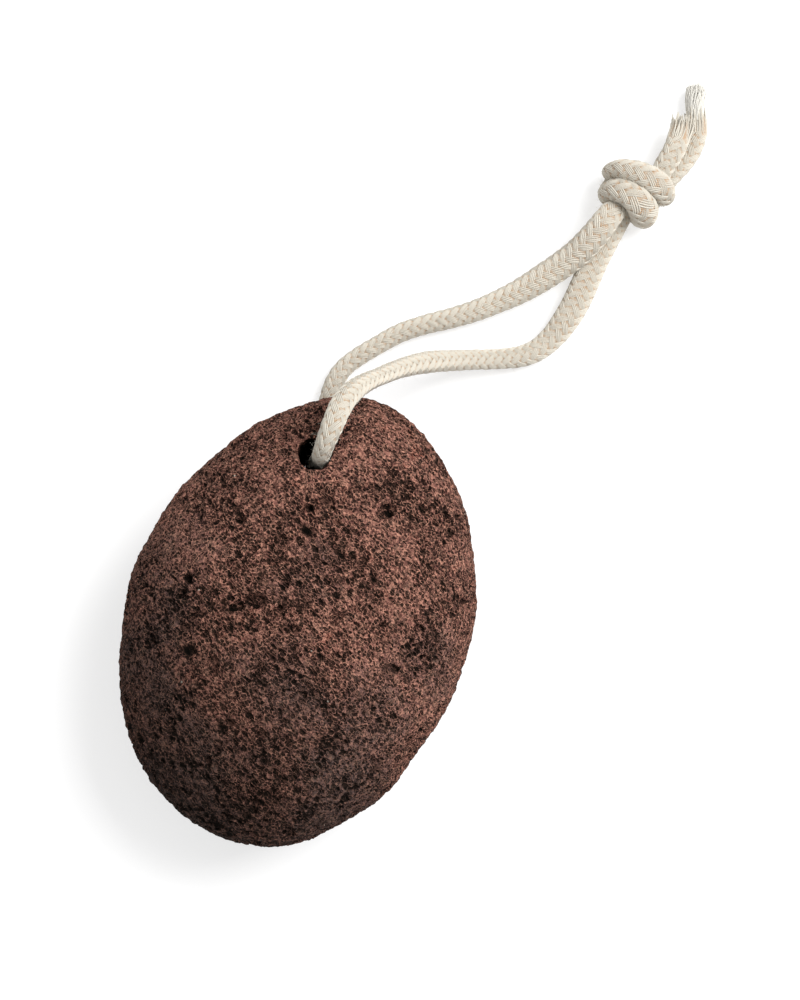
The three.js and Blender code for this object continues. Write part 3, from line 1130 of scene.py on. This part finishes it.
class MeshStock:
    """Gathers tubes and makes one mesh of them."""

    def __init__(self) -> None:
        """Starts with nothing."""
        self.points: list[np.ndarray] = []
        self.faces: list[tuple[int, ...]] = []
        self.hollow: list[np.ndarray] = []
        self.count = 0

    def add_tubes(
        self, lines: np.ndarray, outward: np.ndarray, radius: np.ndarray, hollow: np.ndarray, sides: int
    ) -> None:
        """Adds closed tubes along lines of equal numbers of points.

        Args:
            lines: The tubes' lines, as tubes by points by three.
            outward: A direction across each line at each point.
            radius: The radius at each point.
            hollow: How hollow each point lies, from 0 to 1.
            sides: The number of sides.
        """
        tubes, steps = lines.shape[:2]
        along = unit(np.gradient(lines, axis=1))
        across = unit(outward - along * np.sum(outward * along, -1, keepdims=True))
        beside = np.cross(along, across)
        turns = 2 * math.pi * np.arange(sides) / sides
        ring = (
            np.cos(turns)[None, None, :, None] * across[:, :, None]
            + np.sin(turns)[None, None, :, None] * beside[:, :, None]
        )
        points = lines[:, :, None] + radius[:, :, None, None] * ring
        self.points.append(points.reshape(-1, 3))
        self.hollow.append(np.repeat(hollow.reshape(-1), sides))
        start = self.count + (np.arange(tubes) * steps * sides)[:, None, None]
        row = start + (np.arange(steps - 1) * sides)[None, :, None]
        here = row + np.arange(sides)[None, None]
        beside_it = row + (np.arange(sides) + 1)[None, None] % sides
        quads = np.stack([here, beside_it, beside_it + sides, here + sides], -1).reshape(-1, 4)
        self.faces.extend(map(tuple, quads.tolist()))
        for tube in range(tubes):
            first = self.count + tube * steps * sides
            last = first + (steps - 1) * sides
            self.faces.append(tuple(range(first + sides - 1, first - 1, -1)))
            self.faces.append(tuple(range(last, last + sides)))
        self.count += tubes * steps * sides

    def make(self, name: str) -> bpy.types.Object:
        """Makes the mesh.

        Args:
            name: The piece's name.

        Returns:
            The piece.
        """
        mesh = bpy.data.meshes.new(name)
        mesh.from_pydata(np.vstack(self.points).tolist(), [], self.faces)
        hollow = mesh.attributes.new("hollow", "FLOAT", "POINT")
        hollow.data.foreach_set("value", np.concatenate(self.hollow).astype(np.float32))
        piece = bpy.data.objects.new(name, mesh)
        bpy.context.scene.collection.objects.link(piece)
        take_up(piece)
        bpy.ops.object.shade_smooth_by_angle(angle=math.radians(70))
        return piece


@dataclass
class CottonCord:
    """The braided cord: two strands that meet in the bore, their knot and their ends.

    The routes, the knot's place and the girths are in millimetres, the rest in metres.
    """

    front_route: tuple[Row, ...] = (
        (-4.5, 29.8, 20.3), (-4.0, 29.5, 25.5), (-3.6, 29.2, 30.0), (-3.45, 29.3, 33.5),
        (-3.1, 31.1, 36.5), (-2.65, 34.6, 37.7), (-2.3, 38.5, 36.5), (-1.3, 42.4, 33.2),
        (0.2, 45.5, 29.3), (2.1, 48.3, 25.0), (5.6, 52.8, 18.3), (9.6, 56.4, 12.8), (13.8, 59.1, 8.2),
        (18.2, 61.3, 5.0), (22.8, 63.2, 3.1), (27.3, 65.3, 2.4), (30.0, 67.5, 2.4), (32.2, 70.9, 2.4),
        (33.8, 75.0, 2.6), (34.9, 79.5, 2.7), (35.5, 83.6, 2.7), (36.1, 88.0, 2.8), (37.0, 92.3, 3.0),
    )
    back_route: tuple[Row, ...] = (
        (-4.9, 29.9, 19.6), (-5.3, 30.3, 14.5), (-5.7, 30.7, 9.8), (-5.5, 31.2, 6.0), (-5.9, 33.5, 3.1),
        (-6.5, 37.4, 2.2), (-7.3, 41.8, 2.2), (-7.7, 46.0, 2.2), (-7.6, 49.6, 2.2), (-6.6, 53.0, 2.2),
        (-4.6, 55.9, 2.2), (-1.6, 59.2, 2.2), (2.4, 63.2, 2.2), (6.8, 66.3, 2.2), (11.3, 68.9, 2.2),
        (15.5, 71.6, 2.4), (19.6, 74.8, 2.7), (23.4, 78.1, 3.0), (27.0, 81.9, 3.5), (30.0, 85.3, 4.3),
        (32.3, 88.2, 5.5), (34.1, 91.1, 7.0), (35.5, 94.0, 7.9),
    )
    knot_place: Row = (40.9, 103.2, 0.0)
    knot_heading: float = math.radians(14.5)
    lower_turn: tuple[Row, ...] = (
        (-11.0, -1.1, 3.1), (-8.0, -1.1, 3.4), (-4.2, -0.9, 4.4), (-0.4, -0.7, 5.2), (3.2, -1.2, 5.0),
        (5.0, -2.8, 3.6), (3.6, -4.5, 2.7), (0.6, -5.2, 2.8), (-1.8, -5.3, 4.2), (-3.0, -4.9, 6.4),
        (-2.4, -4.2, 9.0), (-2.1, -1.8, 10.3), (-2.3, 0.7, 10.1), (-2.6, 2.4, 7.8), (-2.8, 2.9, 5.0),
        (-1.8, 2.7, 2.9), (0.8, 2.6, 2.5), (4.4, 3.0, 2.5), (8.0, 3.5, 2.5),
    )
    upper_turn: tuple[Row, ...] = (
        (-9.2, -2.8, 8.0), (-6.6, -2.5, 7.9), (-4.4, -2.2, 6.9), (-1.6, -2.0, 6.1), (1.4, -2.1, 5.8),
        (3.8, -3.2, 5.2), (3.8, -5.2, 4.4), (2.2, -6.5, 4.8), (1.1, -6.9, 6.6), (1.8, -5.5, 9.0),
        (2.4, -2.8, 10.4), (2.7, 0.2, 10.8), (2.7, 2.4, 10.0), (2.7, 3.8, 7.8), (2.8, 4.2, 5.2),
        (3.6, 2.9, 4.5), (5.6, 1.9, 5.8), (8.2, 1.7, 6.2),
    )
    long_end: tuple[Row, ...] = (
        (11.2, 4.1, 2.5), (15.0, 4.2, 2.6), (18.5, 3.4, 2.5), (21.2, 1.8, 2.4), (24.5, -0.2, 2.3),
        (27.4, -1.3, 2.2),
    )
    short_end: tuple[Row, ...] = (
        (10.6, 1.8, 6.4), (12.8, 1.6, 6.2), (16.2, 0.8, 5.7), (19.1, -0.2, 5.5),
    )
    front_girth: tuple[float, ...] = (
        1.75, 1.75, 1.75, 1.8, 1.9, 2.15, 2.25, 2.2, 1.95, 1.8, 1.95, 2.25,
        2.15, 2.05, 2.05, 2.2, 2.3, 2.5, 2.75, 2.85, 2.85, 2.8, 2.75, 2.7,
        2.6, 2.3, 2.0, 1.9, 2.1, 2.3, 2.4, 2.4, 2.4, 2.45, 2.65, 3.0,
        3.2, 3.0, 2.5, 2.2, 2.1, 2.2, 2.3, 2.4, 2.4, 2.2, 2.1, 2.0,
    )
    back_girth: tuple[float, ...] = (
        1.85, 2.0, 2.1, 2.1, 1.95, 1.95, 1.95, 1.95, 1.95, 1.9, 1.9, 1.9,
        1.95, 2.0, 2.1, 2.2, 2.35, 2.6, 2.85, 2.9, 2.9, 2.85, 2.8, 2.75,
        2.6, 2.3, 2.0, 1.9, 2.0, 2.0, 1.95, 1.95, 2.1, 2.4, 2.65, 2.8,
        2.7, 2.6, 2.3, 2.1, 2.2, 2.3, 2.3, 2.3, 2.2,
    )
    diameter: float = 0.0044
    bore_exit: Row = (-0.0038, 0.0293, 0.0335)
    under_exit: Row = (-0.0055, 0.0311, 0.0065)
    braid: Braid = Braid()
    sheath_share: float = 0.76
    unlaid: float = 0.0055
    core_fibres: int = 420
    core_spread: float = 0.0019
    core_sides: int = 16
    core_steps: int = 14
    core_back: float = 0.0012
    tuft_root: float = 0.003
    tuft_spread: float = 0.00022
    tuft_least: float = 0.00009
    tuft_most: float = 0.00016
    table_gap: float = 0.0002
    fray_gap: float = 0.0003
    fray_spread: float = 0.00035
    fluff_each_mm: float = 7.0
    fluff_gap: float = 0.00005
    fluff_root: float = 0.00025
    fluff_least: float = 0.0005
    fluff_most: float = 0.0016
    fluff_radius: float = 0.000017
    fluff_steps: int = 4

    def strand(self, route: tuple[Row, ...], turns: tuple[Row, ...], girth: tuple[float, ...]) -> Strand:
        """Lays one half of the cord.

        Args:
            route: Its places from the bore to the knot.
            turns: Its places from there on, along the knot's heading, to its right and above the table.
            girth: Its radius at each place.

        Returns:
            The strand.
        """
        turn = Matrix.Rotation(-self.knot_heading, 3, "Z")
        knot = Vector(self.knot_place)
        turned = [knot + turn @ Vector((right, forward, height)) for forward, right, height in turns]
        return Strand(np.array([*route, *map(tuple, turned)]) * MM, np.array(girth) * MM)

    def front_strand(self) -> Strand:
        """Lays the strand that leaves by the upper mouth, to the tip of the long end."""
        return self.strand(self.front_route, self.lower_turn + self.long_end, self.front_girth)

    def back_strand(self) -> Strand:
        """Lays the strand that leaves by the lower mouth, to the tip of the short end."""
        return self.strand(self.back_route, self.upper_turn + self.short_end, self.back_girth)

    def stretch(self, name: str, strand: Strand, start: float, stop: float, seed: int) -> bpy.types.Object:
        """Braids one stretch of a strand.

        Args:
            name: The piece's name.
            strand: The strand.
            start: Where the stretch starts along it.
            stop: Where it stops.
            seed: Which fluff it has.

        Returns:
            The piece.
        """
        stock = MeshStock()
        self.braid_between(stock, strand, start, stop)
        self.add_fluff(stock, strand, start, stop, seed)
        return stock.make(name)

    def braid_between(self, stock: MeshStock, strand: Strand, start: float, stop: float) -> None:
        """Adds the braid and its core between two distances.

        Args:
            stock: Where the tubes go.
            strand: The strand.
            start: The first distance.
            stop: The last distance.
        """
        steps = max(4, round((stop - start) / self.braid.step) + 1)
        distance = np.tile(np.linspace(start, stop, steps), (self.braid.carriers * self.braid.plies, 1))
        points, outward, hollow = self.braid.yarns(strand, distance, np.ones_like(distance))
        points[..., 2] = np.maximum(points[..., 2], self.table_gap)
        thick = self.braid.ply_radius(strand.read(strand.radius, distance))
        stock.add_tubes(points, outward, thick, hollow, self.braid.sides)
        radius = self.braid.core_radius(strand.read(strand.radius, distance[:1]))
        # The core inside the braid lies at full hollow, so it takes the full painted shade.
        self.add_core(stock, strand, distance[:1], radius, 1.0)

    def add_core(
        self, stock: MeshStock, strand: Strand, distance: np.ndarray, radius: np.ndarray, hollow: float
    ) -> None:
        """Adds the solid cotton in the middle of a strand.

        Args:
            stock: Where it goes.
            strand: The strand.
            distance: Where its rings lie, as one row.
            radius: The radius of each ring.
            hollow: How hollow it lies, from 0 to 1.
        """
        line, side, _, _ = strand.at(distance)
        stock.add_tubes(line, side, radius, np.full_like(radius, hollow), self.core_sides)

    def add_fluff(self, stock: MeshStock, strand: Strand, start: float, stop: float, seed: int) -> None:
        """Adds the loose fibres that stand off the yarn.

        Args:
            stock: Where the fibres go.
            strand: The strand.
            start: The first distance.
            stop: The last distance.
            seed: Which fluff it is.
        """
        draw = np.random.default_rng(seed)
        count = round((stop - start) / MM * self.fluff_each_mm)
        distance = draw.uniform(start, stop, count)
        angle = draw.uniform(0, 2 * math.pi, count)
        line, side, up, radius = strand.at(distance)
        out = around(side, up, angle)
        root = line + out * (radius[:, None] - self.fluff_root)
        lean = unit(out + 1.3 * draw.normal(size=(count, 3)))
        lean = unit(lean + np.maximum(0, 0.35 - np.sum(lean * out, 1))[:, None] * out)
        curl = draw.normal(size=(count, 3)) * 0.35
        long = draw.uniform(self.fluff_least, self.fluff_most, count)[:, None]
        t = np.linspace(0, 1, self.fluff_steps)[None, :, None]
        lines = root[:, None] + long[:, None] * (t * lean[:, None] + t * t * curl[:, None])
        lines[..., 2] = np.maximum(lines[..., 2], self.fluff_gap)
        thick = np.full(lines.shape[:2], self.fluff_radius) * np.linspace(1, 0.5, self.fluff_steps)
        across = np.repeat(np.roll(lean, 1, 1)[:, None], self.fluff_steps, 1)
        stock.add_tubes(lines, across, thick, np.zeros(thick.shape), 3)

    def frayed_end(self, name: str, strand: Strand, start: float, stop: float, seed: int) -> bpy.types.Object:
        """Braids an end whose plies open and stop unevenly.

        Args:
            name: The piece's name.
            strand: The strand.
            start: Where the end starts along it.
            stop: About where its plies stop.
            seed: Which fray it has.

        Returns:
            The piece.
        """
        draw = np.random.default_rng(seed)
        plies = self.braid.carriers * self.braid.plies
        steps = max(8, round((stop - start) / self.braid.step) + 1)
        reach = (stop - start) * draw.uniform(0.84, 1.0, (plies, 1))
        distance = start + reach * np.linspace(0, 1, steps)
        unlaid = stop - self.unlaid
        opening = np.clip((distance - unlaid) / self.unlaid, 0, 1) ** 1.5
        flare = 1 + opening * draw.uniform(-0.30, 0.12, (plies, 1))
        points, outward, hollow = self.braid.yarns(strand, distance, flare, unlaid)
        points = points + opening[..., None] * draw.normal(size=(plies, 1, 3)) * self.fray_spread
        points[..., 2] = np.maximum(points[..., 2], self.fray_gap)
        stock = MeshStock()
        thick = self.braid.ply_radius(strand.read(strand.radius, distance)) * (1 - 0.35 * opening)
        stock.add_tubes(points, outward, thick, hollow * (1 - opening), self.braid.sides)
        inner = np.linspace(start, stop - self.core_back, 12)[None]
        self.add_core(stock, strand, inner, self.braid.core_radius(strand.read(strand.radius, inner)), 0.0)
        self.add_fluff(stock, strand, start, stop, seed + 1)
        return stock.make(name)

    def core_tuft(self, name: str, strand: Strand, start: float, stop: float, seed: int) -> bpy.types.Object:
        """Lays the soft core fibres that stand out of an opened end.

        Args:
            name: The piece's name.
            strand: The strand.
            start: Where the fibres start, inside the braid.
            stop: About where they stop.
            seed: Which tuft it is.

        Returns:
            The piece.
        """
        draw = np.random.default_rng(seed)
        count, steps = self.core_fibres, self.core_steps
        share = np.sqrt(draw.uniform(0.1, 1, (count, 1)))
        angle = draw.uniform(0, 2 * math.pi, (count, 1))
        reach = (stop - start) * draw.uniform(0.86, 1.0, (count, 1)) * (1 - 0.07 * share**3)
        t = np.linspace(0, 1, steps)[None]
        distance = start + reach * t
        spread = self.core_spread * (0.82 + 0.18 * np.sin(2.6 * t))
        swirl = angle + 0.4 * np.sin(3 * t + 6.28 * draw.uniform(0, 1, (count, 1)))
        line, side, up, _ = strand.at(distance)
        outward = around(side, up, swirl)
        lines = line + (share * spread)[..., None] * outward
        lines = lines + draw.normal(size=(count, 1, 3)) * self.tuft_spread * t[..., None] ** 2
        lines[..., 2] = np.maximum(lines[..., 2], self.table_gap)
        thick = draw.uniform(self.tuft_least, self.tuft_most, (count, 1)) * np.linspace(1, 0.7, steps)
        stock = MeshStock()
        stock.add_tubes(lines, outward, thick, np.zeros(thick.shape), 4)
        inner = np.linspace(start, start + 0.88 * (stop - start), steps)[None]
        radius = 0.78 * self.core_spread * np.sqrt(1.02 - t**6)
        self.add_core(stock, strand, inner, radius, 0.0)
        return stock.make(name)


def dress(piece: bpy.types.Object, material: bpy.types.Material) -> None:
    """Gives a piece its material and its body.

    Args:
        piece: The piece.
        material: Its material.
    """
    piece.data.materials.clear()
    piece.data.materials.append(material)
    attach(piece, BODY)
    LOG.info("%s: %d faces", piece.name, len(piece.data.polygons))


@dataclass
class Portrait:
    """The camera, at the picture's viewing angle, almost straight above. Metres and degrees."""

    place: Row = (0.0383, -0.0625, 0.5491)
    azimuth: float = 16.0
    pitch: float = 80.0
    lens: float = 100.0

    def set_up(self) -> None:
        """Makes the scene's camera."""
        data = bpy.data.cameras.new("portrait")
        data.lens = self.lens
        data.sensor_width = FILM_MM
        data.sensor_fit = "AUTO"
        data.clip_start = 0.01
        camera = bpy.data.objects.new("portrait", data)
        bpy.context.scene.collection.objects.link(camera)
        camera.location = self.place
        camera.rotation_euler = (math.radians(90 - self.pitch), 0, math.radians(self.azimuth))
        bpy.context.scene.camera = camera


@dataclass
class Studio:
    """A pale table, a soft light from the upper right and light all round. Metres."""

    table_size: float = 3.0
    table_colour: Row = (0.45, 0.45, 0.45)
    table_glow: float = 0.60
    key_place: Row = (0.50, 0.48, 0.86)
    key_size: float = 0.60
    key_watts: float = 13.4
    sky_strength: float = 0.66

    def set_up(self) -> None:
        """Makes the table, the lights and the sky."""
        bpy.ops.object.select_all(action="DESELECT")
        bpy.ops.mesh.primitive_plane_add(size=self.table_size, location=(0, 0, 0))
        table = bpy.context.active_object
        table.name = "pale_table"
        paper = bpy.data.materials.new("pale_paper")
        paper.use_nodes = True
        shader = paper.node_tree.nodes["Principled BSDF"]
        shader.inputs["Base Color"].default_value = (*self.table_colour, 1)
        shader.inputs["Roughness"].default_value = 0.9
        shader.inputs["Emission Color"].default_value = (1, 1, 1, 1)
        shader.inputs["Emission Strength"].default_value = self.table_glow
        table.data.materials.append(paper)
        light = bpy.data.lights.new("soft_key", "AREA")
        light.size = self.key_size
        light.energy = self.key_watts
        key = bpy.data.objects.new("soft_key", light)
        bpy.context.scene.collection.objects.link(key)
        key.location = self.key_place
        key.rotation_euler = (-Vector(self.key_place)).to_track_quat("-Z", "Y").to_euler()
        world = bpy.data.worlds.new("pale_sky")
        world.use_nodes = True
        world.node_tree.nodes["Background"].inputs["Color"].default_value = (1, 1, 1, 1)
        world.node_tree.nodes["Background"].inputs["Strength"].default_value = self.sky_strength
        bpy.context.scene.world = world
        bpy.context.scene.view_settings.view_transform = "Standard"


def build_cord(cord: CottonCord) -> None:
    """Args:
        cord: The cord's sizes and routes.
    """
    grain = fibre_grain()
    sheath, white = SHEATH_FINISH.material(grain), CORE_FINISH.material(grain)
    front, back = cord.front_strand(), cord.back_strand()
    front_knot = front.marks[len(cord.front_route) - 1]
    back_knot = back.marks[len(cord.back_route) - 1]
    front_end = front.marks[len(cord.front_route) + len(cord.lower_turn) - 1]
    back_end = back.marks[len(cord.back_route) + len(cord.upper_turn) - 1]
    front_run = cord.stretch("front_run", front, 0.0, front_knot, 11)
    back_run = cord.stretch("back_run", back, 0.0, back_knot, 12)
    knot_lower = cord.stretch("knot_lower_turn", front, front_knot, front_end, 13)
    knot_upper = cord.stretch("knot_upper_turn", back, back_knot, back_end, 14)
    opened = front_end + cord.sheath_share * (front.length - front_end)
    long_end = cord.frayed_end("long_end", front, front_end, opened, 21)
    tuft = cord.core_tuft("core_tuft", front, opened - cord.tuft_root, front.length, 31)
    short_end = cord.frayed_end("short_end", back, back_end, back.length, 23)
    for piece in (front_run, back_run, knot_lower, knot_upper, long_end, short_end):
        dress(piece, sheath)
    dress(tuft, white)
    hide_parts("cord_front")
    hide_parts("cord_back")
    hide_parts("cord_knot")
    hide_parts("cord_end_long")
    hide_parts("cord_end_short")
    for piece, strand, knot, leaves in (
        (front_run, front, front_knot, cord.bore_exit),
        (back_run, back, back_knot, cord.under_exit),
    ):
        path = strand.read(strand.line, np.linspace(0, knot, 120))


def main() -> None:
    """Builds the picture: camera, cord, stone, then the studio."""
    logging.basicConfig(level=logging.INFO, format="%(name)s %(message)s")
    Portrait().set_up()
    build_cord(CottonCord())
    stone = PumiceStone().build()
    dress(stone, LavaFinish().material())
    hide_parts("stone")
    Studio().set_up()


if __name__ == "__main__":
    main()
